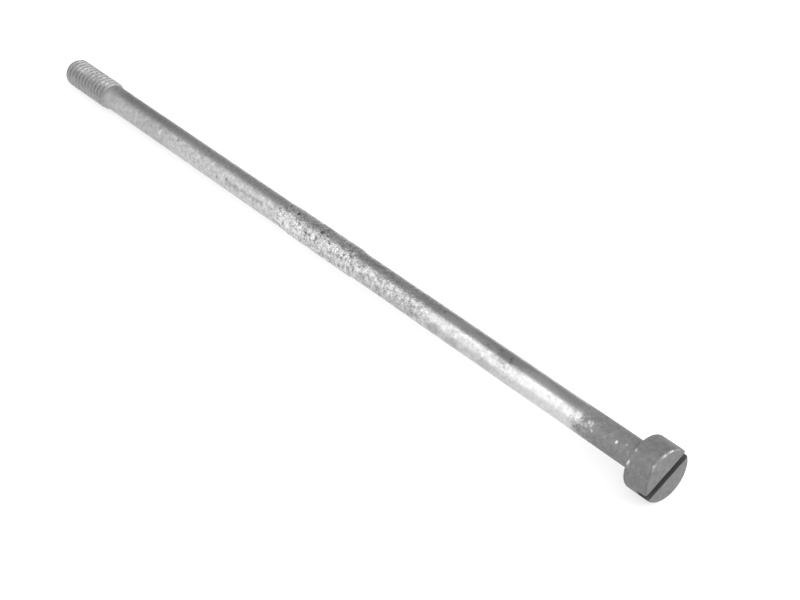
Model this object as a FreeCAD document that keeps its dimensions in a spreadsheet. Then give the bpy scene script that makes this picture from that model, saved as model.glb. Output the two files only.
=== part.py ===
"""Long slotted cylinder head screw, turned and cold rolled from one steel bar.

Millimetres. The origin is the centre of the bearing face under the head, +Z is up, and the
screw points along +X from its head to its tip. It lies at rest on a level surface, on the
lower edge of its head and on the crest of its thread, so its own axis dips towards the tip.
"""

import FreeCAD, Part
import os
from enum import IntEnum, auto

import Sketcher

NODE = "cylinder_head_screw"
SHEET = "Sizes"

# The driving dimensions of the screw, in millimetres, and its turn about its own axis in degrees.
SIZES = {
    "screw_length": 177.8,
    "head_diameter": 10.4,
    "head_height": 5.2,
    "face_edge_radius": 0.45,
    "underside_edge_radius": 0.35,
    "neck_radius": 0.4,
    "slot_width": 1.6,
    "slot_depth": 2.0,
    "slot_turn": 153.0,
    "shank_diameter": 5.5,
    "thread_major": 6.35,
    "thread_run": 15.2,
    "runout_run": 3.0,
    "tip_chamfer": 0.6,
    "crust_start": 75.3,
    "crust_run": 22.7,
    "crust_rise": 0.15,
    "crust_near_ramp": 0.6,
    "crust_far_ramp": 4.0,
}

# How far the slot's cutter runs past the head on each side.
CUTTER_OVERRUN = 1.0

# Two lengths that differ by less than this are the same length.
CLOSE = 0.0001

HORIZONTAL_AXIS = -1
VERTICAL_AXIS = -2


class LineEnd(IntEnum):
    """The numbers by which a sketch knows the two ends of a line."""

    START = auto()
    END = auto()


START, END = LineEnd


def size(formula):
    """A formula in which every driving dimension is read from the sheet."""
    words = []
    for word in formula.split():
        words.append(f"{SHEET}.{word}" if word in SIZES else word)
    return " ".join(words)


def make_sheet(doc):
    """The sheet of driving dimensions, one named cell each."""
    sheet = doc.addObject("Spreadsheet::Sheet", SHEET)
    for row, (alias, value) in enumerate(SIZES.items(), start=1):
        sheet.set(f"A{row}", alias)
        sheet.set(f"B{row}", str(value))
        sheet.setAlias(f"B{row}", alias)
    doc.recompute()
    return sheet


def origin_plane(body, role):
    """One of the body's own origin planes, found by its role."""
    return next(item for item in body.Origin.OriginFeatures if item.Role == role)


def attach(sketch, body, role):
    """Lay a sketch flat on one of the body's origin planes."""
    sketch.AttachmentSupport = [(origin_plane(body, role), "")]
    sketch.MapMode = "FlatFace"


def bind(sketch, kind, first, second, name, formula):
    """A named distance between two sketch points, tied to a formula in the driving dimensions."""
    index = sketch.addConstraint(Sketcher.Constraint(kind, *first, *second, 1.0))
    sketch.renameConstraint(index, name)
    sketch.setExpression(f"Constraints.{name}", size(formula))


def profile_corners():
    """The corners of the half section, from the head's face to the tip and back along the axis.

    They only start the sketch near its final form; the named constraints then set it exactly.
    """
    part = SIZES
    head, shank, thread = (part[name] / 2 for name in ("head_diameter", "shank_diameter", "thread_major"))
    length, chamfer = part["screw_length"], part["tip_chamfer"]
    crust_end = part["crust_start"] + part["crust_run"]
    crust = shank + part["crust_rise"]
    thread_start = length - part["thread_run"]
    return [
        (-part["head_height"], 0.0),
        (-part["head_height"], head),
        (0.0, head),
        (0.0, shank),
        (part["crust_start"], shank),
        (part["crust_start"] + part["crust_near_ramp"], crust),
        (crust_end - part["crust_far_ramp"], crust),
        (crust_end, shank),
        (thread_start - part["runout_run"], shank),
        (thread_start, thread),
        (length - chamfer, thread),
        (length, thread - chamfer),
        (length, 0.0),
    ]


def draw_loop(sketch, corners):
    """A closed loop of straight lines through these corners, each line joined to the next."""
    points = [FreeCAD.Vector(x, y, 0) for x, y in corners]
    followers = points[1:] + points[:1]
    edges = [sketch.addGeometry(Part.LineSegment(a, b), False) for a, b in zip(points, followers)]
    for edge, follower in zip(edges, edges[1:] + edges[:1]):
        sketch.addConstraint(Sketcher.Constraint("Coincident", edge, END, follower, START))
    return edges


def draw_profile(body):
    """The half section of the whole screw, which turns about its axis into the blank."""
    sketch = body.newObject("Sketcher::SketchObject", "HalfSection")
    attach(sketch, body, "XZ_Plane")
    edges = draw_loop(sketch, profile_corners())
    (face, head_side, bearing, near_shank, near_ramp, crust, far_ramp,
     far_shank, runout, thread, chamfer, tip, axis) = edges
    for edge in (face, bearing, tip):
        sketch.addConstraint(Sketcher.Constraint("Vertical", edge))
    for edge in (head_side, near_shank, crust, far_shank, thread):
        sketch.addConstraint(Sketcher.Constraint("Horizontal", edge))
    for point in ((axis, START), (axis, END)):
        sketch.addConstraint(Sketcher.Constraint("PointOnObject", *point, HORIZONTAL_AXIS))
    sketch.addConstraint(Sketcher.Constraint("PointOnObject", bearing, START, VERTICAL_AXIS))
    sketch.addConstraint(Sketcher.Constraint("Horizontal", near_shank, END, far_shank, START))
    middle = (HORIZONTAL_AXIS, START)
    bind(sketch, "DistanceX", (face, START), middle, "head_height", "head_height")
    bind(sketch, "DistanceY", middle, (head_side, START), "head_radius", "head_diameter / 2")
    bind(sketch, "DistanceY", middle, (near_shank, START), "shank_radius", "shank_diameter / 2")
    bind(sketch, "DistanceX", middle, (near_ramp, START), "crust_start", "crust_start")
    bind(sketch, "DistanceX", (near_ramp, START), (near_ramp, END), "crust_near_ramp", "crust_near_ramp")
    bind(sketch, "DistanceY", (near_ramp, START), (near_ramp, END), "crust_rise", "crust_rise")
    bind(sketch, "DistanceX", (near_ramp, START), (far_ramp, END), "crust_run", "crust_run")
    bind(sketch, "DistanceX", (far_ramp, START), (far_ramp, END), "crust_far_ramp", "crust_far_ramp")
    bind(sketch, "DistanceX", (runout, START), (runout, END), "runout_run", "runout_run")
    bind(sketch, "DistanceX", (runout, END), (tip, START), "thread_run", "thread_run")
    bind(sketch, "DistanceY", middle, (thread, START), "thread_radius", "thread_major / 2")
    bind(sketch, "DistanceX", (chamfer, START), (chamfer, END), "chamfer_length", "tip_chamfer")
    bind(sketch, "DistanceY", (chamfer, END), (chamfer, START), "chamfer_depth", "tip_chamfer")
    bind(sketch, "DistanceX", middle, (tip, START), "screw_length", "screw_length")
    return sketch


def turn_blank(body, sketch):
    """The blank as a lathe leaves it: head, shank with its band of crust, and plain thread end."""
    blank = body.newObject("PartDesign::Revolution", "Blank")
    blank.Profile = sketch
    blank.ReferenceAxis = (sketch, ["H_Axis"])
    blank.Angle = 360.0
    return blank


def ring_edge(shape, x, radius):
    """The name of the full circle of this radius round the screw's axis at this place along it."""
    for number, edge in enumerate(shape.Edges, start=1):
        curve = edge.Curve
        if not isinstance(curve, Part.Circle):
            continue
        if abs(curve.Center.x - x) < CLOSE and abs(curve.Radius - radius) < CLOSE:
            return f"Edge{number}"
    raise RuntimeError(f"no ring of radius {radius} at x = {x}")


def round_edge(doc, body, name, base, place, alias):
    """Round one ring edge of the base with the radius that the sheet holds under this alias."""
    doc.recompute()
    fillet = body.newObject("PartDesign::Fillet", name)
    fillet.Base = (base, [ring_edge(base.Shape, *place)])
    fillet.setExpression("Radius", size(alias))
    return fillet


def draw_slot(body):
    """The slot's outline on the head's face: a bar across the middle, as wide as the cutter."""
    sketch = body.newObject("Sketcher::SketchObject", "SlotOutline")
    attach(sketch, body, "YZ_Plane")
    sketch.setExpression("AttachmentOffset.Base.z", size("- head_height"))
    sketch.setExpression("AttachmentOffset.Rotation.Angle", size("slot_turn"))
    reach = SIZES["head_diameter"] / 2 + CUTTER_OVERRUN
    half = SIZES["slot_width"] / 2
    corners = [(-reach, -half), (reach, -half), (reach, half), (-reach, half)]
    lower, right, upper, left = draw_loop(sketch, corners)
    for edge in (lower, upper):
        sketch.addConstraint(Sketcher.Constraint("Horizontal", edge))
    for edge in (right, left):
        sketch.addConstraint(Sketcher.Constraint("Vertical", edge))
    middle = (HORIZONTAL_AXIS, START)
    sketch.addConstraint(Sketcher.Constraint("Symmetric", lower, START, upper, START, *middle))
    bind(sketch, "DistanceY", (right, START), (right, END), "slot_width", "slot_width")
    bind(sketch, "DistanceX", (lower, START), (lower, END), "cutter_run", f"head_diameter + {2 * CUTTER_OVERRUN}")
    return sketch


def cut_slot(body, sketch):
    """The driver slot, milled straight across the head from its face towards the shank."""
    slot = body.newObject("PartDesign::Pocket", "DriverSlot")
    slot.Profile = sketch
    slot.Reversed = True
    slot.setExpression("Length", size("slot_depth"))
    return slot


def lay_down(body):
    """Tip the screw until the head's lower edge and the thread's last crest touch one level."""
    reach = "( screw_length - tip_chamfer + underside_edge_radius )"
    drop = "( head_diameter / 2 - underside_edge_radius - thread_major / 2 )"
    span = f"sqrt( {reach} ^ 2 + {drop} ^ 2 )"
    body.Placement = FreeCAD.Placement(FreeCAD.Vector(), FreeCAD.Rotation(FreeCAD.Vector(0, 1, 0), 1.0))
    body.setExpression(
        "Placement.Rotation.Angle",
        size(f"atan( {drop} / {reach} ) + asin( underside_edge_radius / {span} )"),
    )


def build_screw(doc):
    """The screw as one body, from its turned blank to its slot."""
    body = doc.addObject("PartDesign::Body", "Screw")
    body.Label = NODE
    half_section = draw_profile(body)
    blank = turn_blank(body, half_section)
    face_rim = (-SIZES["head_height"], SIZES["head_diameter"] / 2)
    under_rim = (0.0, SIZES["head_diameter"] / 2)
    neck = (0.0, SIZES["shank_diameter"] / 2)
    rounded = round_edge(doc, body, "FaceEdge", blank, face_rim, "face_edge_radius")
    rounded = round_edge(doc, body, "UndersideEdge", rounded, under_rim, "underside_edge_radius")
    rounded = round_edge(doc, body, "Neck", rounded, neck, "neck_radius")
    doc.recompute()
    before = rounded.Shape.Volume
    slot = cut_slot(body, draw_slot(body))
    body.Tip = slot
    lay_down(body)
    doc.recompute()
    if slot.Shape.Volume > before - SIZES["slot_width"] * SIZES["slot_depth"]:
        raise RuntimeError("the slot cut nothing")
    return body


def check(doc, body):
    """Stop if any feature failed or the screw is not one valid closed solid."""
    failed = [item.Label for item in doc.Objects if {"Invalid", "Error"} & set(item.State)]
    if failed:
        raise RuntimeError(f"failed features: {failed}")
    shape = body.Shape
    if shape.isNull() or not shape.isValid() or len(shape.Solids) != 1:
        raise RuntimeError("the screw is not one valid solid")


def main():
    """Build the screw, check it and write its one file."""
    doc = FreeCAD.newDocument("CylinderHeadScrew")
    make_sheet(doc)
    body = build_screw(doc)
    check(doc, body)
    os.makedirs("parts", exist_ok=True)
    body.Shape.exportStep(os.path.join("parts", f"{body.Label}.step"))
    box = body.Shape.optimalBoundingBox(False)
    print(f"{body.Label}: volume {body.Shape.Volume:.2f} mm3, dip {body.Placement.Rotation.Angle:.6f} rad")
    print(f"x {box.XMin:.3f} {box.XMax:.3f}, y {box.YMin:.3f} {box.YMax:.3f}, z {box.ZMin:.3f} {box.ZMax:.3f}")


main()
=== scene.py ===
"""The looks of a long slotted cylinder head screw: its mesh, its worn steel and a plain studio.

The screw lies along +X. Its mesh is built in millimetres about its own axis, with the bearing face
under the head at zero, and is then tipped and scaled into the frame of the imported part.
"""

import logging
import math
from dataclasses import dataclass, field
from enum import Enum
from typing import ClassVar

import bmesh
import bpy
from mathutils import Matrix, Quaternion, Vector, noise

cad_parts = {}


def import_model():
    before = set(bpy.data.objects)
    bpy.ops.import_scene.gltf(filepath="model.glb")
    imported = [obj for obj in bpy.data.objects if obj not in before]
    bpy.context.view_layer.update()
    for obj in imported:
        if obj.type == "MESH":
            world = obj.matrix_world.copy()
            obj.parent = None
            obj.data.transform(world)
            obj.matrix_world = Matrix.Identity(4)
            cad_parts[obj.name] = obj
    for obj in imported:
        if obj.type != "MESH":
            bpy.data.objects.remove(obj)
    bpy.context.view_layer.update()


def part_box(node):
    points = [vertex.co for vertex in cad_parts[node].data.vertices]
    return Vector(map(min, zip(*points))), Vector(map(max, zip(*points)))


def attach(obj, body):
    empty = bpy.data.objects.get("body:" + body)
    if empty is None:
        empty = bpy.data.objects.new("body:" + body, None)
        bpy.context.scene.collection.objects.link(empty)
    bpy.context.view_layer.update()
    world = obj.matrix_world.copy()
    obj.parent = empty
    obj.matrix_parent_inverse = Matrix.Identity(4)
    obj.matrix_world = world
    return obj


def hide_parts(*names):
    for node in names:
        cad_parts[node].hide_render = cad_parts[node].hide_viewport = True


NODE = "cylinder_head_screw"
BODY = "root"

MM = 0.001
# The steps in one turn of a spin, and the distances in millimetres within which two places are one.
STEPS_ROUND = 96
NEAR = 1e-4
NEAR_IN_CUT = 1e-5

Term = bpy.types.NodeSocket | float | tuple

log = logging.getLogger("screw")


class Tone(Enum):
    """The greys of the steel, the backdrop and the room, as sRGB hex values."""

    SKIN_PALE = "#9C9C9C"
    SKIN_DARK = "#808080"
    # The tone of grime, and of the painted shade in the slot.
    GRIME_AND_SHADE = "#404040"
    PAPER = "#C0C0C0"
    ROOM = "#9E9E9E"


class Side(Enum):
    """The two sides of the slot's middle plane."""

    LEFT = -1
    RIGHT = 1


def linear(hex_value: str) -> tuple[float, float, float, float]:
    """Turn an sRGB hex value into a linear colour.

    Args:
        hex_value: The colour as "#RRGGBB".

    Returns:
        Red, green, blue and an alpha of 1.
    """
    shares = (int(hex_value[i:i + 2], 16) / 255 for i in (1, 3, 5))
    red, green, blue = (s / 12.92 if s <= 0.04045 else ((s + 0.055) / 1.055) ** 2.4 for s in shares)
    return red, green, blue, 1.0


def smooth_step(low: float, high: float, value: float) -> float:
    """Rise smoothly from 0 at low to 1 at high.

    Args:
        low: Where the rise starts.
        high: Where it ends, above or below low.
        value: The place to read.

    Returns:
        A share from 0 to 1.
    """
    share = max(0.0, min(1.0, (value - low) / (high - low)))
    return share * share * (3 - 2 * share)


def window(start: float, end: float, soft: float, value: float) -> float:
    """Be 1 between start and end and 0 outside, with soft edges.

    Args:
        start: The near edge.
        end: The far edge.
        soft: The width over which each edge fades.
        value: The place to read.

    Returns:
        A share from 0 to 1.
    """
    half = soft / 2
    return smooth_step(start - half, start + half, value) * smooth_step(end + half, end - half, value)


def arc(centre: tuple, radius: float, start: float, end: float, pieces: int) -> list[tuple]:
    """Points along a circular arc in the half section.

    Args:
        centre: The arc's centre, along the axis and out from it.
        radius: The arc's radius.
        start: The first angle in degrees, from the axis towards outside.
        end: The last angle in degrees.
        pieces: How many straight pieces stand for the arc.

    Returns:
        The points, both ends included.
    """
    angles = (math.radians(start + (end - start) * i / pieces) for i in range(pieces + 1))
    return [(centre[0] + radius * math.cos(a), centre[1] + radius * math.sin(a)) for a in angles]


def add_node(tree: bpy.types.NodeTree, kind: str, inputs: dict | None = None,
             **settings: str | bool) -> bpy.types.Node:
    """Add a node with its settings and inputs.

    Args:
        tree: The node tree that takes the node.
        kind: The node's type name in Blender.
        inputs: Plain values, or the sockets that feed them, by the input's name or number.
        settings: The node's own attributes.

    Returns:
        The new node.
    """
    node = tree.nodes.new(kind)
    for name, value in settings.items():
        setattr(node, name, value)
    for name, value in (inputs or {}).items():
        if isinstance(value, bpy.types.NodeSocket):
            tree.links.new(value, node.inputs[name])
        else:
            node.inputs[name].default_value = value
    return node


def calculate(tree: bpy.types.NodeTree, operation: str, *terms: Term,
              clamp: bool = False) -> bpy.types.NodeSocket:
    """Add a node that works out one value.

    Args:
        tree: The node tree.
        operation: The operation's name in Blender.
        terms: What it works on, in its order, each a plain value or a socket.
        clamp: Whether the result is kept between 0 and 1.

    Returns:
        The socket that holds the result.
    """
    node = add_node(tree, "ShaderNodeMath", dict(enumerate(terms)), operation=operation, use_clamp=clamp)
    return node.outputs[0]


def blend(tree: bpy.types.NodeTree, share: bpy.types.NodeSocket, low: Term, high: Term,
          coloured: bool = False) -> bpy.types.NodeSocket:
    """Add a node that mixes two values or two colours.

    Args:
        tree: The node tree.
        share: The socket that gives how much of the second is in the mix.
        low: The first, a plain value or a socket.
        high: The second.
        coloured: Whether they are colours.

    Returns:
        The socket that holds the mix.
    """
    kind, first, result = ("RGBA", 6, 2) if coloured else ("FLOAT", 2, 0)
    node = add_node(tree, "ShaderNodeMix", {0: share, first: low, first + 1: high}, data_type=kind)
    return node.outputs[result]


@dataclass(frozen=True)
class Mark:
    """A pit, a stain or a rubbed spot on the surface, in millimetres and degrees round the axis.

    It is whole within CORE sizes of its middle and gone at one size, give or take RAGGED sizes, by
    a noise of GRAIN waves to a size. Nothing of it is left beyond REACH sizes.
    """

    CORE: ClassVar[float] = 0.3
    RAGGED: ClassVar[float] = 0.5
    GRAIN: ClassVar[float] = 1.3
    REACH: ClassVar[float] = 2.0

    along: float
    around: float
    size: float
    strength: float = 1.0
    stretch: float = 1.0

    def share(self, point: Vector, angle: float, radius: float) -> float:
        """How strongly the mark acts at a point.

        Args:
            point: The point about the screw's axis, in millimetres.
            angle: Its angle round the axis in degrees.
            radius: Its distance from the axis.

        Returns:
            A share from 0 far from the mark to its strength in the middle.
        """
        turn = (angle - self.around + 180) % 360 - 180
        distance = math.hypot(point.x - self.along, math.radians(turn) * radius / self.stretch)
        if distance > self.REACH * self.size:
            return 0.0
        ragged = distance + self.RAGGED * self.size * noise.noise(point * (self.GRAIN / self.size))
        return self.strength * smooth_step(self.size, self.size * self.CORE, ragged)


@dataclass(frozen=True)
class Blank:
    """The turned blank: the head, its neck and the plain shank up to the thread.

    The pieces and rings say how finely each part of its section is divided; ring_gaps holds the same
    for the shank, as places along it and the gap between rings up to each.
    """

    head_diameter: float = 10.4
    head_height: float = 5.2
    face_edge_radius: float = 0.45
    underside_edge_radius: float = 0.35
    neck_radius: float = 0.4
    shank_diameter: float = 5.5
    crust_start: float = 75.3
    crust_run: float = 22.7
    crust_rise: float = 0.15
    crust_near_ramp: float = 0.6
    crust_far_ramp: float = 4.0
    face_edge_pieces: int = 8
    side_rings: int = 14
    underside_edge_pieces: int = 6
    underside_rings: int = 5
    neck_pieces: int = 5
    ring_gaps: tuple = (
        (14.0, 0.2), (54.0, 0.45), (74.0, 0.2), (99.5, 0.14), (126.0, 0.26), (159.2, 0.5),
    )

    def shank_radius(self, x: float) -> float:
        """The shank's radius at a place along it, with the collar of crust.

        Args:
            x: The place along the axis.

        Returns:
            The radius before any wear.
        """
        crust_end = self.crust_start + self.crust_run
        near = smooth_step(self.crust_start, self.crust_start + self.crust_near_ramp, x)
        far = smooth_step(crust_end, crust_end - self.crust_far_ramp, x)
        return self.shank_diameter / 2 + self.crust_rise * near * far

    def half_section(self) -> list[tuple[float, float]]:
        """The outline that turns about the axis, from the face's edge to the shank's end.

        Returns:
            Points along the axis and out from it.
        """
        head = self.head_diameter / 2
        face, under, neck = self.face_edge_radius, self.underside_edge_radius, self.neck_radius
        shank = self.shank_diameter / 2
        points = arc((-self.head_height + face, head - face), face, 180, 90, self.face_edge_pieces)
        side = self.head_height - face - under
        points += [(-self.head_height + face + side * i / self.side_rings, head)
                   for i in range(1, self.side_rings)]
        points += arc((-under, head - under), under, 90, 0, self.underside_edge_pieces)
        ring = head - under - shank - neck
        points += [(0.0, head - under - ring * i / self.underside_rings)
                   for i in range(1, self.underside_rings)]
        points += arc((neck, shank + neck), neck, 180, 270, self.neck_pieces)
        x = neck
        for end, gap in self.ring_gaps:
            count = math.ceil((end - x) / gap)
            places = [x + (end - x) * i / count for i in range(1, count + 1)]
            points += [(place, self.shank_radius(place)) for place in places]
            x = end
        return points

    def build(self, mesh: bmesh.types.BMesh, start_angle: float) -> None:
        """Spin the half section into the blank and close the head's face.

        Args:
            mesh: The mesh that takes the blank.
            start_angle: The angle round the axis, in radians, at which the outline starts.
        """
        out = Vector((0.0, math.cos(start_angle), math.sin(start_angle)))
        verts = [mesh.verts.new(Vector((x, 0.0, 0.0)) + out * radius) for x, radius in self.half_section()]
        edges = [mesh.edges.new(pair) for pair in zip(verts, verts[1:])]
        bmesh.ops.spin(mesh, geom=verts + edges, cent=(0, 0, 0), axis=(1, 0, 0), angle=math.tau,
                       steps=STEPS_ROUND, use_merge=True)
        rim = [e for e in mesh.edges if e.is_boundary and e.verts[0].co.x < 0]
        bmesh.ops.contextual_create(mesh, geom=rim)


@dataclass(frozen=True)
class DriverSlot:
    """The slot for the driver, milled straight across the head."""

    width: float = 1.6
    depth: float = 2.0
    turn: float = 153.0
    edge_break: float = 0.07
    edge_pieces: int = 3
    # The share of the grime tone painted into the slot's walls and floor as shade.
    painted_shade: float = 0.5

    @property
    def along(self) -> Vector:
        """The direction in which the slot runs across the face."""
        return Vector((0.0, math.cos(math.radians(self.turn)), math.sin(math.radians(self.turn))))

    @property
    def across(self) -> Vector:
        """The direction from one wall of the slot to the other."""
        return Vector((0.0, -self.along.z, self.along.y))

    def cut(self, mesh: bmesh.types.BMesh, blank: Blank) -> None:
        """Cut the slot into the head, close its walls and floor and break its edges.

        Args:
            mesh: The mesh that holds the head.
            blank: The blank, for the height of its head.
        """
        floor_x = -blank.head_height + self.depth
        half = self.width / 2
        planes = [(self.across * half * side.value, self.across) for side in Side]
        planes.append((Vector((floor_x, 0, 0)), Vector((1, 0, 0))))
        for point, normal in planes:
            head = [f for f in mesh.faces if f.calc_center_median().x < -blank.underside_edge_radius]
            parts = {*head, *(e for f in head for e in f.edges), *(v for f in head for v in f.verts)}
            bmesh.ops.bisect_plane(mesh, geom=list(parts), dist=NEAR_IN_CUT, plane_co=point,
                                   plane_no=normal)
        inside = [f for f in mesh.faces if self.holds(f.calc_center_median(), floor_x)]
        bmesh.ops.delete(mesh, geom=inside, context="FACES")
        cut = [e for e in mesh.edges if e.is_boundary and e.verts[0].co.x < 0]
        corners = [v for v in mesh.verts if v.is_boundary and self.is_corner(v, floor_x)]
        feet, lips = [], []
        for side in Side:
            foot = mesh.edges.new([v for v in corners if v.co.dot(self.across) * side.value > 0])
            wall = [e for e in cut if all(self.on_wall(v, side) for v in e.verts)]
            bmesh.ops.contextual_create(mesh, geom=wall + [foot])
            feet.append(foot)
            lips += wall
        floor = [e for e in cut if all(abs(v.co.x - floor_x) < NEAR for v in e.verts)]
        bmesh.ops.contextual_create(mesh, geom=floor + feet)
        bmesh.ops.recalc_face_normals(mesh, faces=mesh.faces[:])
        bmesh.ops.bevel(mesh, geom=feet + lips, offset=self.edge_break, offset_type="OFFSET",
                        segments=self.edge_pieces, profile=0.5, affect="EDGES", material=-1,
                        clamp_overlap=False)

    def painted_shade_at(self, point: Vector, face_x: float) -> float:
        """How much painted shade darkens the slot's walls and floor at a point.

        Args:
            point: The point about the screw's axis.
            face_x: The place of the head's face along the axis.

        Returns:
            A share from 0 on the face to the slot's full painted shade a little below its lips.
        """
        beside = abs(point.dot(self.across)) - self.width / 2
        if beside > self.edge_break / 2 or not face_x < point.x < face_x + self.depth + self.edge_break:
            return 0.0
        return self.painted_shade * smooth_step(self.edge_break, 0.0, beside)

    def holds(self, point: Vector, floor_x: float) -> bool:
        """Whether a point lies in the slot's space.

        Args:
            point: The point.
            floor_x: The place of the slot's floor along the axis.

        Returns:
            True inside the slot.
        """
        return abs(point.dot(self.across)) < self.width / 2 and point.x < floor_x

    def on_wall(self, vert: bmesh.types.BMVert, side: Side) -> bool:
        """Whether a point of the mesh lies on one of the slot's walls.

        Args:
            vert: The point of the mesh.
            side: The wall.

        Returns:
            True on that wall.
        """
        return abs(vert.co.dot(self.across) - side.value * self.width / 2) < NEAR

    def is_corner(self, vert: bmesh.types.BMVert, floor_x: float) -> bool:
        """Whether a point lies both on a wall and at the floor.

        Args:
            vert: The point of the mesh.
            floor_x: The place of the slot's floor along the axis.

        Returns:
            True at one of the floor's four corners.
        """
        return abs(vert.co.x - floor_x) < NEAR and any(self.on_wall(vert, side) for side in Side)


@dataclass(frozen=True)
class RolledThread:
    """The rolled thread at the tip, right-handed, with its run-out and its chamfered start.

    The eases round the section's corners, and the fades are the distances from the end of the full
    thread over which crests, roots and ridges go over into the run-out.
    """

    major: float = 6.35
    pitch: float = 1.27
    depth: float = 0.74
    crest_flat: float = 0.2
    root_flat: float = 0.2
    root_ease: float = 0.02
    crest_ease: float = 0.03
    shoulder_back: float = 0.02
    shoulder_drop: float = 0.05
    flank_shares: tuple = (0.3, 0.65)
    run: float = 15.2
    runout: float = 3.0
    crest_fade: float = 0.2
    root_fade: float = 0.9
    ridge_fade: tuple = (-1.6, 0.3)
    chamfer: float = 0.6
    tip: float = 177.8
    start: float = 159.6
    phase: float = 0.35
    weld: float = 0.004

    def pitch_profile(self) -> list[tuple[float, float]]:
        """One pitch of the thread's section, from the middle of a root to the next.

        Returns:
            Points along the axis and out from it, with the corners eased.
        """
        crest, root = self.major / 2, self.major / 2 - self.depth
        flank = (self.pitch - self.crest_flat - self.root_flat) / 2
        rise = self.root_flat / 2
        top = rise + flank
        half = [(0.0, root), (rise, root + self.root_ease)]
        half += [(rise + flank * share, root + self.depth * share) for share in self.flank_shares]
        half += [(top - self.shoulder_back, crest - self.shoulder_drop), (top + self.crest_ease, crest)]
        back = [(self.pitch - x, radius) for x, radius in reversed(half)]
        return half + back

    def limit(self, x: float, radius: float, shank: float) -> float:
        """Limit the thread's radius by its run-out and its chamfer.

        Args:
            x: The place along the axis.
            radius: The radius of the full thread there.
            shank: The plain shank's radius.

        Returns:
            The radius that the real thread has.
        """
        crest, full = self.major / 2, self.tip - self.run
        ceiling = crest - (crest - shank) * smooth_step(full + self.crest_fade, full - self.runout, x)
        if x > self.tip - self.chamfer:
            ceiling = crest - (x - self.tip + self.chamfer)
        root = crest - self.depth
        floor = root + (shank - root) * smooth_step(full + self.root_fade, full - self.root_fade, x)
        low, high = self.ridge_fade
        ridge = shank + (radius - shank) * smooth_step(full + low, full + high, x)
        return min(max(ridge, floor), ceiling)

    def coil(self) -> bmesh.types.BMesh:
        """Spin one pitch through one turn of the helix and repeat that turn along the thread.

        Returns:
            The endless thread's surface, longer than the thread at both ends.
        """
        coil = bmesh.new()
        first = self.start - 2 * self.pitch - self.pitch * self.phase
        turns = math.ceil((self.tip + self.pitch - first) / self.pitch)
        verts = [coil.verts.new((first + x, radius, 0.0)) for x, radius in self.pitch_profile()]
        edges = [coil.edges.new(pair) for pair in zip(verts, verts[1:])]
        bmesh.ops.spin(coil, geom=verts + edges, cent=(0, 0, 0), axis=(1, 0, 0), angle=math.tau,
                       dvec=(self.pitch / STEPS_ROUND, 0, 0), steps=STEPS_ROUND, use_merge=False)
        turn = coil.verts[:] + coil.edges[:] + coil.faces[:]
        for number in range(1, turns):
            copy = bmesh.ops.duplicate(coil, geom=turn)["geom"]
            moved = [item for item in copy if isinstance(item, bmesh.types.BMVert)]
            bmesh.ops.translate(coil, verts=moved, vec=(self.pitch * number, 0, 0))
        bmesh.ops.remove_doubles(coil, verts=coil.verts, dist=self.weld)
        return coil

    def build(self, mesh: bmesh.types.BMesh, blank: Blank) -> None:
        """Trim the thread's surface, join it to the shank and close the tip.

        Args:
            mesh: The mesh that holds the blank.
            blank: The blank, for its radius and its open end.
        """
        coil = self.coil()
        helix = bpy.data.meshes.new("thread_helix")
        coil.to_mesh(helix)
        coil.free()
        before = set(mesh.verts)
        mesh.from_mesh(helix)
        bpy.data.meshes.remove(helix)
        for x, outward in ((self.start, -1), (self.tip, 1)):
            made = [v for v in mesh.verts if v not in before]
            edges = {e for v in made for e in v.link_edges}
            faces = {f for v in made for f in v.link_faces}
            bmesh.ops.bisect_plane(mesh, geom=[*made, *edges, *faces], dist=NEAR, plane_co=(x, 0, 0),
                                   plane_no=(outward, 0, 0), clear_outer=True)
        for vert in (v for v in mesh.verts if v not in before):
            radius = math.hypot(vert.co.y, vert.co.z)
            wanted = self.limit(vert.co.x, radius, blank.shank_diameter / 2)
            vert.co.yz = vert.co.yz * (wanted / radius)
        chamfer_x = self.tip - self.chamfer
        open_edges = [e for e in mesh.edges if e.is_boundary and e.verts[0].co.x < chamfer_x]
        bmesh.ops.bridge_loops(mesh, edges=open_edges)
        end = [e for e in mesh.edges if e.is_boundary]
        log.info("thread: %d edges joined at its start, %d at its tip", len(open_edges), len(end))
        bmesh.ops.contextual_create(mesh, geom=end)


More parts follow.
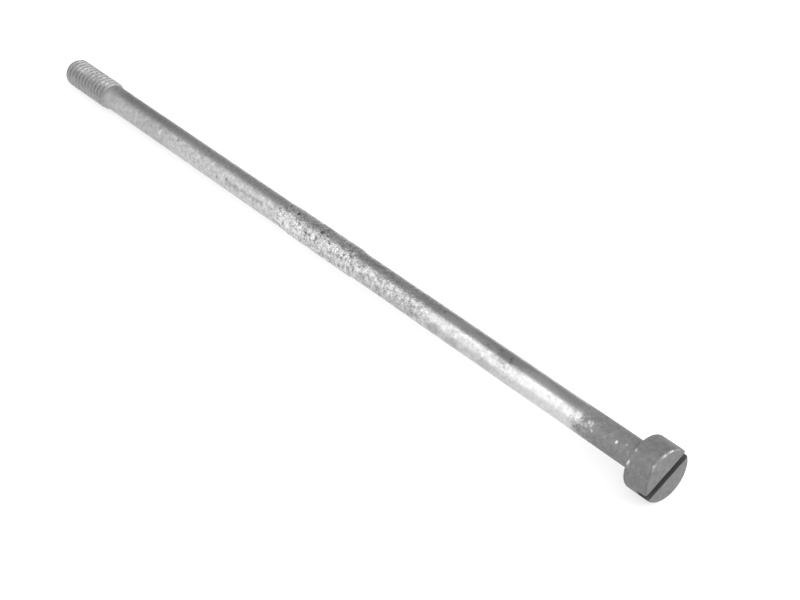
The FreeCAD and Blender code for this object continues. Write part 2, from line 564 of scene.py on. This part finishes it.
@dataclass(frozen=True)
class Crust:
    """The band of crust and the mottled stretch before it, in millimetres along the axis.

    The mottled stretch has its own shares of the crust's lumps, holes and dirt.
    """

    band: tuple = (75.3, 98.6)
    band_edge: float = 0.7
    mottle: tuple = (52.0, 76.0)
    mottle_edge: float = 3.0
    edge_reach: float = 0.9
    edge_waves: float = 0.9
    height: float = 0.06
    grain: float = 0.6
    octaves: int = 4
    octave_fade: float = 0.6
    octave_ratio: float = 2.1
    hole_depth: float = 0.1
    hole_grain: float = 0.7
    hole_range: tuple = (0.45, 0.75)
    hole_shift: tuple = (7, 3, 1)
    hole_dirt: float = 0.6
    hollow_range: tuple = (0.1, -0.8)
    hollow_dirt: float = 0.35
    mottle_lumps: float = 0.28
    mottle_holes: float = 0.35
    mottle_dirt: float = 0.5

    def relief(self, point: Vector) -> tuple[float, float]:
        """How far the crust stands proud at a point, and how much grime its hollows hold.

        Args:
            point: The point about the screw's axis, in millimetres.

        Returns:
            The height in millimetres, below zero in a hole, and a share of grime from 0 to 1.
        """
        ragged = point.x + self.edge_reach * noise.noise(point * self.edge_waves)
        crusted = window(*self.band, self.band_edge, ragged)
        mottled = window(*self.mottle, self.mottle_edge, ragged)
        if crusted + mottled == 0:
            return 0.0, 0.0
        lumps = noise.fractal(point / self.grain, self.octave_fade, self.octave_ratio, self.octaves)
        depth = noise.noise(point / self.hole_grain + Vector(self.hole_shift))
        holes = smooth_step(*self.hole_range, depth)
        hollows = self.hollow_dirt * smooth_step(*self.hollow_range, lumps)
        height = self.height * lumps * (crusted + self.mottle_lumps * mottled)
        height -= self.hole_depth * holes * (crusted + self.mottle_holes * mottled)
        return height, (crusted + self.mottle_dirt * mottled) * min(1.0, self.hole_dirt * holes + hollows)


@dataclass(frozen=True)
class Streak:
    """The long rough streak on the shank, which wanders and fades from its start to its end."""

    start: Mark = Mark(114.0, 22.0, 0.5, 0.4)
    end: Mark = Mark(104.0, 31.5, 0.5, 0.25)
    margin: float = 1.0
    least_width: float = 0.15
    width_sway: float = 0.6
    width_waves: float = 1.1
    path_sway: float = 0.4
    path_waves: float = 1.9
    path_shift: tuple = (3, 0, 5)

    def share(self, point: Vector, angle: float, radius: float) -> float:
        """How dark the streak is at a point of the shank.

        Args:
            point: The point about the screw's axis.
            angle: Its angle round the axis in degrees.
            radius: Its distance from the axis.

        Returns:
            A share from 0 to 1.
        """
        start, end = self.start, self.end
        if not end.along - self.margin < point.x < start.along + self.margin:
            return 0.0
        share = max(0.0, min(1.0, (start.along - point.x) / (start.along - end.along)))
        middle = start.around + (end.around - start.around) * share
        width = start.size + self.width_sway * noise.noise(point * self.width_waves)
        wander = self.path_sway * noise.noise(point * self.path_waves + Vector(self.path_shift))
        off = abs(math.radians(angle - middle)) * radius + wander
        line = smooth_step(max(width, self.least_width), 0.0, off)
        return line * (start.strength + (end.strength - start.strength) * share)


@dataclass(frozen=True)
class Wear:
    """What use and rust did to the surface: crust, pits, stains, rubbed spots and unevenness."""

    crust: Crust = Crust()
    streak: Streak = Streak()
    pit_depth: float = 0.1
    sway: float = 0.03
    sway_waves: tuple = (0.07, 0.05)
    head_dirt: float = 0.12
    rim_start: float = 0.5
    rim_full: float = 0.15
    stains: tuple = (
        # Along the shank's lower side.
        Mark(50.0, 2.0, 3.4, 0.3, 0.5), Mark(45.5, -6.0, 3.0, 0.24, 0.5),
        Mark(57.0, 4.0, 3.0, 0.26, 0.6), Mark(61.0, -6.0, 2.4, 0.2, 0.6),
        Mark(66.0, 6.0, 2.4, 0.24, 0.7), Mark(71.5, 14.0, 1.6, 0.25, 0.8),
        Mark(81.0, -14.0, 6.0, 0.1, 0.35), Mark(92.0, -14.0, 6.0, 0.12, 0.35),
        Mark(37.0, -8.0, 4.0, 0.12, 0.4),
        # Round the pits of the bright stretch.
        Mark(33.4, 66.0, 2.8, 0.17, 0.6), Mark(37.6, 68.0, 1.5, 0.16, 0.7),
        Mark(43.5, 66.0, 1.8, 0.14, 0.6), Mark(32.6, 46.0, 2.0, 0.1, 0.7),
        # Beyond the crust.
        Mark(124.0, 22.0, 9.0, 0.05, 0.3), Mark(142.0, 40.0, 8.0, 0.08, 0.5),
    )
    pits: tuple = (
        # Beyond the crust.
        Mark(134.0, 51.8, 0.5, 0.5), Mark(131.0, 51.8, 0.5, 0.45), Mark(124.6, 69.0, 0.45, 0.35),
        Mark(118.6, 12.0, 0.5, 0.5), Mark(115.4, 28.7, 0.5, 0.5), Mark(115.3, 9.6, 0.4, 0.4),
        Mark(112.5, 22.6, 0.6, 0.5), Mark(109.7, 45.7, 0.4, 0.4), Mark(100.2, 35.2, 0.4, 0.5),
        # In the crust.
        Mark(93.5, 84.7, 0.6, 0.8), Mark(91.5, 51.0, 0.5, 0.7), Mark(88.6, 34.5, 0.5, 0.7),
        Mark(87.8, 36.0, 0.45, 0.7), Mark(85.7, 35.3, 0.7, 0.8), Mark(85.4, 75.6, 0.6, 0.8),
        Mark(80.8, 26.0, 0.5, 0.5),
        # On the bright stretch.
        Mark(52.4, 26.5, 0.5, 0.4), Mark(50.1, 89.8, 0.5, 0.4), Mark(37.8, 77.6, 0.45, 0.4),
        Mark(37.5, 15.6, 0.36, 0.4), Mark(34.8, 91.9, 0.5, 0.35), Mark(33.3, 51.6, 0.32, 0.4),
        Mark(32.4, 50.0, 0.36, 0.5), Mark(31.9, 83.4, 0.5, 0.6), Mark(31.9, 40.4, 0.32, 0.4),
        Mark(31.4, 70.6, 0.45, 0.5), Mark(31.1, 46.6, 0.32, 0.4), Mark(30.1, 58.9, 0.4, 0.3),
    )
    rubs: tuple = (
        # The edges of the face and of the underside.
        Mark(-5.07, 75.0, 0.4, 0.42, 12.0), Mark(-5.07, 96.0, 0.36, 0.68, 2.6),
        Mark(-5.07, 79.0, 0.42, 0.7, 2.2), Mark(-5.05, 50.0, 0.46, 0.82, 3.4),
        Mark(-4.8, 6.0, 0.5, 0.4), Mark(-0.45, 57.0, 0.44, 0.68, 1.8), Mark(-0.45, 29.0, 0.48, 0.78, 2.0),
        # The neck, and the ragged end of its skin.
        Mark(4.8, 48.1, 0.46, 0.85), Mark(2.8, 61.4, 0.5, 0.5), Mark(7.0, 40.2, 0.9, 0.4),
        Mark(10.8, 54.7, 1.3, 0.6), Mark(10.1, 34.0, 1.0, 0.55), Mark(13.9, 59.0, 1.6, 0.6),
        # The upper side of the bright stretch.
        Mark(23.0, 74.0, 8.0, 0.85, 0.22), Mark(38.0, 66.0, 8.0, 0.62, 0.22),
        Mark(31.0, 30.0, 14.0, 0.5, 0.12), Mark(47.0, 84.0, 7.0, 0.64, 0.32),
        Mark(60.0, 94.0, 8.0, 0.5, 0.2), Mark(70.0, 50.0, 2.4, 0.55, 0.6),
        # The crust, and one spot beyond it.
        Mark(80.0, 100.0, 5.0, 0.66, 0.4), Mark(91.0, 100.0, 6.0, 0.6, 0.3),
        Mark(82.0, 45.0, 2.4, 0.55, 0.5), Mark(88.0, 42.0, 2.6, 0.6, 0.5),
        Mark(95.4, 32.0, 3.4, 0.7, 0.6), Mark(140.1, 35.6, 0.9, 0.8),
        # The thread's run-out and its upper side.
        Mark(163.4, 80.0, 0.6, 0.8, 1.6), Mark(164.7, 75.0, 0.6, 0.85, 1.6),
        Mark(166.0, 80.0, 0.5, 0.55, 1.6), Mark(168.0, 72.0, 4.0, 0.5, 0.4),
        Mark(172.5, 73.0, 5.0, 0.66, 0.36),
    )

    def relief(self, point: Vector, angle: float, radius: float) -> tuple[float, float]:
        """How far the shank stands proud at a point, and how much grime it holds.

        Args:
            point: The point about the screw's axis, in millimetres.
            angle: Its angle round the axis in degrees.
            radius: Its distance from the axis.

        Returns:
            The height in millimetres, below zero in a pit, and a share of grime from 0 to 1.
        """
        height, grime_and_shade = self.crust.relief(point)
        along, across = self.sway_waves
        height += self.sway * noise.noise(Vector((point.x * along, point.y * across, point.z * across)))
        for pit in self.pits:
            share = pit.share(point, angle, radius)
            height -= self.pit_depth * share
            grime_and_shade = max(grime_and_shade, share)
        stain = sum(stain.share(point, angle, radius) for stain in self.stains)
        return height, max(grime_and_shade, stain, self.streak.share(point, angle, radius))

    def rubbed(self, point: Vector, angle: float, radius: float) -> float:
        """How far the dull skin is rubbed off at a point.

        Args:
            point: The point about the screw's axis.
            angle: Its angle round the axis in degrees.
            radius: Its distance from the axis.

        Returns:
            A share from 0, dull, to 1, bare and bright.
        """
        return max(rub.share(point, angle, radius) for rub in self.rubs)

    def apply(self, mesh: bmesh.types.BMesh, blank: Blank, slot: DriverSlot, thread: RolledThread) -> None:
        """Move the shank's points by their relief, and note each point's grime, with painted shade in the
        slot, and its rubbed share.

        Args:
            mesh: The finished mesh about the screw's axis.
            blank: The blank, for the extent of its head.
            slot: The slot, for the painted shade in it.
            thread: The thread, for the place where it starts.
        """
        grime_and_shade_layer = mesh.verts.layers.float.new("grime_and_shade")
        rub_layer = mesh.verts.layers.float.new("rubbed")
        head = blank.head_diameter / 2
        for vert in mesh.verts:
            radius = math.hypot(vert.co.y, vert.co.z)
            angle = math.degrees(math.atan2(vert.co.z, vert.co.y))
            rubbed = self.rubbed(vert.co, angle, radius)
            grime_and_shade = 0.0
            if vert.co.x <= blank.neck_radius:
                rubbed *= smooth_step(head - self.rim_start, head - self.rim_full, radius)
                # The head's own grime, and painted shade on the slot's walls and floor.
                grime_and_shade = max(self.head_dirt, slot.painted_shade_at(vert.co, -blank.head_height))
            elif vert.co.x < thread.start:
                height, grime_and_shade = self.relief(vert.co, angle, radius)
                vert.co.yz *= 1 + height / radius
            vert[rub_layer] = rubbed
            vert[grime_and_shade_layer] = grime_and_shade


@dataclass(frozen=True)
class Pattern:
    """A noise of the material, in waves per millimetre, and the range of its values that counts."""

    scale: float
    detail: float
    roughness: float
    low: float = 0.0
    high: float = 1.0

    def raw(self, tree: bpy.types.NodeTree, place: bpy.types.NodeSocket) -> bpy.types.NodeSocket:
        """The noise as it is.

        Args:
            tree: The material's node tree.
            place: The socket that gives the point in millimetres.

        Returns:
            The socket that holds a value round a half.
        """
        inputs = {"Vector": place, "Scale": self.scale, "Detail": self.detail, "Roughness": self.roughness}
        return add_node(tree, "ShaderNodeTexNoise", inputs).outputs["Fac"]

    def signed(self, tree: bpy.types.NodeTree, place: bpy.types.NodeSocket,
               reach: float = 1.0) -> bpy.types.NodeSocket:
        """The noise with its range spread to both sides of zero.

        Args:
            tree: The material's node tree.
            place: The socket that gives the point in millimetres.
            reach: How far it goes to either side.

        Returns:
            The socket that holds the value.
        """
        inputs = {"Value": self.raw(tree, place), "From Min": self.low, "From Max": self.high,
                  "To Min": -reach, "To Max": reach}
        return add_node(tree, "ShaderNodeMapRange", inputs).outputs[0]


@dataclass(frozen=True)
class Stretch:
    """One stretch of the screw's surface, up to a place along it, and the millimetres of its blend.

    Its bare steel has a tone and a roughness. The skin's share, the strength of the clouds and the
    strength of the grain go from 0 to 1.
    """

    end: float
    blend: float
    bare: float
    roughness: float
    skin: float
    cloud: float
    grain: float


@dataclass(frozen=True)
class WornSteel:
    """Mild steel, turned and cold rolled, then long in use.

    A dull oxide skin covers the head, use has rubbed the steel bright behind it, rust has eaten a band
    in the middle, and beyond it the steel is satin grey. Bare steel reflects the room; the skin scatters.
    """

    dip: float = 0.0
    length: float = 180.0
    skin_roughness: float = 0.55
    skin_metallic: float = 0.35
    rubbed_bare: float = 0.72
    rub_range: tuple = (0.85, 1.35)
    flake_share: float = 0.9
    flake_gain: float = 0.35
    skin_gain: float = 1.5
    skin_loss: float = 0.45
    shading_share: float = 0.5
    cloud_polish: float = 0.25
    grain_strength: float = 0.8
    grain_height: float = 0.0002
    wave_reach: float = 3.0
    wave_range: tuple = (60.0, 78.0)
    wave_rest: float = 0.12
    blotches: Pattern = Pattern(1.1, 5.0, 0.75, 0.35, 0.65)
    specks: Pattern = Pattern(3.2, 1.0, 0.5, 0.38, 0.62)
    flecks: Pattern = Pattern(2.6, 4.0, 0.6)
    rust: Pattern = Pattern(3.4, 2.0, 0.6)
    waves: Pattern = Pattern(0.55, 5.0, 0.65, 0.3, 0.7)
    stretches: tuple = (
        Stretch(13.5, 9.0, 0.58, 0.38, 1.0, 0.15, 0.1),
        Stretch(28.0, 10.0, 0.60, 0.35, 0.0, 0.25, 0.1),
        Stretch(53.0, 4.0, 0.52, 0.34, 0.0, 0.33, 0.15),
        Stretch(75.5, 1.5, 0.52, 0.36, 0.05, 0.8, 0.6),
        Stretch(90.0, 3.0, 0.59, 0.34, 0.05, 0.9, 0.8),
        Stretch(98.4, 0.8, 0.66, 0.34, 0.0, 0.9, 0.8),
        Stretch(138.0, 16.0, 0.53, 0.42, 0.05, 0.5, 0.2),
        Stretch(158.0, 4.0, 0.44, 0.43, 0.05, 0.4, 0.15),
        Stretch(180.0, 0.0, 0.46, 0.62, 0.2, 0.3, 0.1),
    )

    def ramp(self, tree: bpy.types.NodeTree, along: bpy.types.NodeSocket,
             quality: str) -> bpy.types.NodeSocket:
        """A value that changes from stretch to stretch along the screw.

        Args:
            tree: The material's node tree.
            along: The socket that gives the place along the axis in millimetres.
            quality: The name of the stretch's field to follow.

        Returns:
            The socket that holds the value.
        """
        share = calculate(tree, "DIVIDE", along, self.length)
        node = add_node(tree, "ShaderNodeValToRGB", {"Fac": share})
        stops = []
        start = 0.0
        for stretch in self.stretches:
            value = getattr(stretch, quality)
            stops += [(start, value), (stretch.end - stretch.blend / 2, value)]
            start = stretch.end + stretch.blend / 2
        elements = node.color_ramp.elements
        while len(elements) < len(stops):
            elements.new(1.0)
        for element, (stop, value) in zip(elements, stops):
            element.position = stop / self.length
            element.color = (value, value, value, 1.0)
        return node.outputs["Color"]

    def ragged_place(self, tree: bpy.types.NodeTree, place: bpy.types.NodeSocket) -> bpy.types.NodeSocket:
        """The place along the axis, shifted to and fro so that the stretches end in ragged edges.

        Args:
            tree: The material's node tree.
            place: The socket that gives the point in millimetres.

        Returns:
            The socket that holds the shifted place, whose shift all but rests from the crust on.
        """
        axis = add_node(tree, "ShaderNodeSeparateXYZ", {0: place})
        shift = self.waves.signed(tree, place, self.wave_reach)
        start, end = self.wave_range
        steady = add_node(tree, "ShaderNodeMapRange",
                          {"Value": axis.outputs["X"], "From Min": start, "From Max": end,
                           "To Min": 1.0, "To Max": self.wave_rest})
        return calculate(tree, "MULTIPLY_ADD", shift, steady.outputs[0], axis.outputs["X"])

    def rubbed(self, tree: bpy.types.NodeTree, place: bpy.types.NodeSocket) -> bpy.types.NodeSocket:
        """How far use has rubbed the surface, broken up by flecks.

        Args:
            tree: The material's node tree.
            place: The socket that gives the point in millimetres.

        Returns:
            The socket that holds a share from 0 to 1.
        """
        noted = add_node(tree, "ShaderNodeAttribute", attribute_name="rubbed")
        flecked = calculate(tree, "ADD", noted.outputs["Fac"], self.flecks.raw(tree, place))
        start, end = self.rub_range
        inputs = {"Value": flecked, "From Min": start, "From Max": end}
        return add_node(tree, "ShaderNodeMapRange", inputs).outputs[0]

    def skin(self, tree: bpy.types.NodeTree, along: bpy.types.NodeSocket, cloud: bpy.types.NodeSocket,
             speck: bpy.types.NodeSocket, rub: bpy.types.NodeSocket) -> bpy.types.NodeSocket:
        """How far the oxide skin covers the steel: thin where the noise is low, gone where rubbed.

        Args:
            tree: The material's node tree.
            along: The socket that gives the place along the axis.
            cloud: The socket of the clouds.
            speck: The socket of the specks.
            rub: The socket that gives how far the surface is rubbed.

        Returns:
            The socket that holds a share from 0 to 1.
        """
        share = self.ramp(tree, along, "skin")
        flakes = calculate(tree, "MULTIPLY_ADD", speck, self.flake_share, cloud)
        thinning = calculate(tree, "MULTIPLY_ADD", flakes, self.flake_share, share)
        whole = calculate(tree, "MULTIPLY_ADD", share, self.skin_gain, -self.skin_loss)
        cover = calculate(tree, "MULTIPLY_ADD", thinning, self.flake_gain, whole, clamp=True)
        kept = calculate(tree, "SUBTRACT", 1.0, rub)
        return calculate(tree, "MULTIPLY", cover, kept)

    def bare_tone(self, tree: bpy.types.NodeTree, along: bpy.types.NodeSocket,
                  clouded: bpy.types.NodeSocket, speck: bpy.types.NodeSocket,
                  rub: bpy.types.NodeSocket) -> bpy.types.NodeSocket:
        """The tone of the bare steel, uneven with clouds and specks and brighter where rubbed.

        Args:
            tree: The material's node tree.
            along: The socket that gives the place along the axis.
            clouded: The socket of the clouds in this stretch's strength.
            speck: The socket of the specks.
            rub: The socket that gives how far the surface is rubbed.

        Returns:
            The socket that holds the tone.
        """
        speckled = calculate(tree, "MULTIPLY", speck, self.shading_share)
        shading = calculate(tree, "MULTIPLY_ADD", speckled, self.ramp(tree, along, "grain"), clouded)
        dimmed = calculate(tree, "MULTIPLY_ADD", shading, self.shading_share, 1.0)
        worn = calculate(tree, "MULTIPLY", self.ramp(tree, along, "bare"), dimmed, clamp=True)
        return blend(tree, rub, worn, self.rubbed_bare)

    def rust_grain(self, tree: bpy.types.NodeTree, place: bpy.types.NodeSocket,
                   along: bpy.types.NodeSocket) -> bpy.types.NodeSocket:
        """The fine grain of rust, about a third of a millimetre wide, as a bump.

        Args:
            tree: The material's node tree.
            place: The socket that gives the point in millimetres.
            along: The socket that gives the place along the axis.

        Returns:
            The socket of the bumped normal.
        """
        height = calculate(tree, "MULTIPLY", self.rust.raw(tree, place), self.ramp(tree, along, "grain"))
        inputs = {"Height": height, "Strength": self.grain_strength, "Distance": self.grain_height}
        return add_node(tree, "ShaderNodeBump", inputs).outputs["Normal"]

    def build(self) -> bpy.types.Material:
        """Make the steel's material.

        Returns:
            The material, on Object coordinates, the mesh's own grime shares, with painted shade in the slot,
            and its rubbed shares.
        """
        material = bpy.data.materials.new("worn_mild_steel")
        material.use_nodes = True
        tree = material.node_tree
        tree.nodes.clear()
        coords = add_node(tree, "ShaderNodeTexCoord")
        mapped = add_node(tree, "ShaderNodeMapping", {"Vector": coords.outputs["Object"],
                          "Rotation": (0, -self.dip, 0), "Scale": (1 / MM, 1 / MM, 1 / MM)})
        place = mapped.outputs["Vector"]
        along = self.ragged_place(tree, place)

        # Cloudy blotches about a millimetre wide with finer ones inside them, and still finer specks.
        cloud = self.blotches.signed(tree, place)
        speck = self.specks.signed(tree, place)
        clouded = calculate(tree, "MULTIPLY", cloud, self.ramp(tree, along, "cloud"))

        rub = self.rubbed(tree, place)
        skin = self.skin(tree, along, cloud, speck, rub)
        bare = self.bare_tone(tree, along, clouded, speck, rub)
        shade = calculate(tree, "MULTIPLY_ADD", cloud, 0.5, 0.5)
        oxide = blend(tree, shade, linear(Tone.SKIN_DARK.value), linear(Tone.SKIN_PALE.value), coloured=True)
        coated = blend(tree, skin, bare, oxide, coloured=True)
        # Grime darkens the steel in pits, stains and crust; in the slot the same attribute paints shade.
        grime_and_shade = add_node(tree, "ShaderNodeAttribute", attribute_name="grime_and_shade").outputs["Fac"]
        dirtied_and_shaded = blend(tree, grime_and_shade, coated, linear(Tone.GRIME_AND_SHADE.value), coloured=True)

        roughness = self.ramp(tree, along, "roughness")
        bare_roughness = calculate(tree, "MULTIPLY_ADD", clouded, -self.cloud_polish, roughness)
        shader = add_node(tree, "ShaderNodeBsdfPrincipled",
                          {"Base Color": dirtied_and_shaded,
                           "Roughness": blend(tree, skin, bare_roughness, self.skin_roughness),
                           "Metallic": blend(tree, skin, 1.0, self.skin_metallic),
                           "Normal": self.rust_grain(tree, place, along)})
        add_node(tree, "ShaderNodeOutputMaterial", {"Surface": shader.outputs[0]})
        return material


@dataclass
class Screw:
    """The whole screw: its blank, slot, thread and wear, in one closed mesh."""

    blank: Blank = field(default_factory=Blank)
    slot: DriverSlot = field(default_factory=DriverSlot)
    thread: RolledThread = field(default_factory=RolledThread)
    wear: Wear = field(default_factory=Wear)
    sharp_angle: float = 50.0

    @property
    def dip(self) -> float:
        """The angle in radians by which the axis dips, so that head and thread touch one level."""
        edge = self.blank.underside_edge_radius
        reach = self.thread.tip - self.thread.chamfer + edge
        drop = self.blank.head_diameter / 2 - edge - self.thread.major / 2
        return math.atan(drop / reach) + math.asin(edge / math.hypot(reach, drop))

    def build(self) -> bpy.types.Object:
        """Build the screw's mesh and place it in the frame.

        Returns:
            The screw as one object at the origin.
        """
        mesh = bmesh.new()
        self.blank.build(mesh, math.radians(self.slot.turn))
        self.slot.cut(mesh, self.blank)
        self.thread.build(mesh, self.blank)
        bmesh.ops.recalc_face_normals(mesh, faces=mesh.faces[:])
        self.wear.apply(mesh, self.blank, self.slot, self.thread)
        open_edges = sum(1 for e in mesh.edges if not e.is_manifold)
        placed = Matrix.Rotation(self.dip, 4, "Y") @ Matrix.Scale(MM, 4)
        bmesh.ops.transform(mesh, matrix=placed, verts=mesh.verts)
        data = bpy.data.meshes.new("screw")
        mesh.to_mesh(data)
        mesh.free()
        data.polygons.foreach_set("use_smooth", [True] * len(data.polygons))
        data.set_sharp_from_angle(angle=math.radians(self.sharp_angle))
        piece = bpy.data.objects.new("screw", data)
        bpy.context.scene.collection.objects.link(piece)
        weighted = piece.modifiers.new("flat_faces_stay_flat", "WEIGHTED_NORMAL")
        weighted.keep_sharp = True
        data.materials.append(WornSteel(dip=self.dip).build())
        triangles = sum(len(p.vertices) - 2 for p in data.polygons)
        log.info("screw: %d triangles, %d open edges, dips %.3f degrees", triangles, open_edges,
                 math.degrees(self.dip))
        return piece


@dataclass(frozen=True)
class Lamp:
    """A flat soft box that shines at the middle of the screw, in metres, degrees and watts."""

    name: str
    towards: tuple
    width: float
    height: float
    roll: float
    power: float
    distance: float = 0.9
    aimed_at: tuple = (0.08, 0, 0)

    def build(self) -> None:
        """Put the lamp in the scene."""
        data = bpy.data.lights.new(self.name, "AREA")
        data.shape = "RECTANGLE"
        data.size = self.width
        data.size_y = self.height
        data.energy = self.power
        lamp = bpy.data.objects.new(self.name, data)
        bpy.context.scene.collection.objects.link(lamp)
        aim = Vector(self.towards).normalized()
        lamp.location = Vector(self.aimed_at) + aim * self.distance
        lamp.rotation_mode = "QUATERNION"
        roll = Quaternion((0, 0, 1), math.radians(self.roll))
        lamp.rotation_quaternion = (-aim).to_track_quat("-Z", "Y") @ roll


@dataclass(frozen=True)
class Studio:
    """A plain pale floor, soft lamps and the camera.

    The floor is in metres. The camera's place is in millimetres, its yaw and pitch in radians.
    """

    level: float
    floor_middle: float = 0.09
    floor_radius: float = 4.0
    floor_pieces: int = 64
    paper_roughness: float = 0.9
    lift: float = 1.25
    camera_place: tuple = (-136.82, 170.06, 194.11)
    camera_yaw: float = -0.7054823
    camera_pitch: float = 0.6428433
    lens: float = 77.63
    sensor: float = 36.0
    nearest_seen: float = 0.01
    lamps: tuple = (
        Lamp("strip_soft_box", (0.475, 0.705, 0.52), 0.5, 1.16, 21.2, 3.05),
        Lamp("white_board", (0.828, 0.435, 0.356), 0.5, 1.0, 21.2, 0.55),
        Lamp("side_soft_box", (-0.7, -0.6, 0.38), 0.7, 0.7, 0.0, 4.8),
        Lamp("top_soft_box", (-0.35, 0.1, 0.93), 0.8, 0.8, 0.0, 2.6),
    )

    def build_floor(self) -> None:
        """The floor, a wide pale sheet at the level that the screw lies on."""
        mesh = bmesh.new()
        bmesh.ops.create_circle(mesh, cap_ends=True, segments=self.floor_pieces,
                                radius=self.floor_radius,
                                matrix=Matrix.Translation((self.floor_middle, 0, self.level)))
        data = bpy.data.meshes.new("floor")
        mesh.to_mesh(data)
        mesh.free()
        floor = bpy.data.objects.new("floor", data)
        bpy.context.scene.collection.objects.link(floor)
        data.materials.append(self.paper())

    def paper(self) -> bpy.types.Material:
        """Matt white backdrop paper, which lifts its own tone where it is seen or reflected.

        Returns:
            The material.
        """
        material = bpy.data.materials.new("white_backdrop_paper")
        material.use_nodes = True
        tree = material.node_tree
        tree.nodes.clear()
        path = add_node(tree, "ShaderNodeLightPath").outputs
        seen = calculate(tree, "MAXIMUM", path["Is Camera Ray"], path["Is Glossy Ray"])
        shown = calculate(tree, "MAXIMUM", seen, path["Is Transmission Ray"])
        tone = linear(Tone.PAPER.value)
        shader = add_node(tree, "ShaderNodeBsdfPrincipled",
                          {"Base Color": tone, "Roughness": self.paper_roughness, "Specular IOR Level": 0.0,
                           "Emission Color": tone,
                           "Emission Strength": calculate(tree, "MULTIPLY", shown, self.lift)})
        add_node(tree, "ShaderNodeOutputMaterial", {"Surface": shader.outputs[0]})
        return material

    def build_world(self) -> None:
        """A plain grey room round the screw."""
        world = bpy.data.worlds.new("grey_room")
        bpy.context.scene.world = world
        world.use_nodes = True
        tree = world.node_tree
        tree.nodes.clear()
        room = add_node(tree, "ShaderNodeBackground", {"Color": linear(Tone.ROOM.value), "Strength": 1.0})
        add_node(tree, "ShaderNodeOutputWorld", {"Surface": room.outputs[0]})

    def build_camera(self) -> None:
        """The camera, where the photograph was taken from."""
        data = bpy.data.cameras.new("camera")
        data.sensor_width = self.sensor
        data.lens = self.lens
        data.clip_start = self.nearest_seen
        camera = bpy.data.objects.new("camera", data)
        bpy.context.scene.collection.objects.link(camera)
        flat = math.cos(self.camera_pitch)
        look = Vector((flat * math.cos(self.camera_yaw), flat * math.sin(self.camera_yaw),
                       -math.sin(self.camera_pitch)))
        right = look.cross(Vector((0, 0, 1))).normalized()
        up = right.cross(look)
        camera.matrix_world = (Matrix.Translation(Vector(self.camera_place) * MM)
                               @ Matrix((right, up, -look)).transposed().to_4x4())
        bpy.context.scene.camera = camera

    def build(self) -> None:
        """Set up floor, room, lamps, camera and the plain view transform."""
        self.build_floor()
        self.build_world()
        for lamp in self.lamps:
            lamp.build()
        self.build_camera()
        bpy.context.scene.view_settings.view_transform = "Standard"


def corners(box: tuple[Vector, Vector]) -> list[list[float]]:
    """A box as plain lists of numbers.

    Args:
        box: Its lowest and its highest corner.

    Returns:
        The two corners.
    """
    return [list(corner) for corner in box]


def main() -> None:
    """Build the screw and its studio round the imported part."""
    logging.basicConfig(level=logging.INFO, format="%(name)s: %(message)s")
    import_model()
    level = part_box(NODE)[0].z
    piece = Screw().build()
    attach(piece, BODY)
    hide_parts(NODE)
    Studio(level=level).build()


if __name__ == "__main__":
    main()
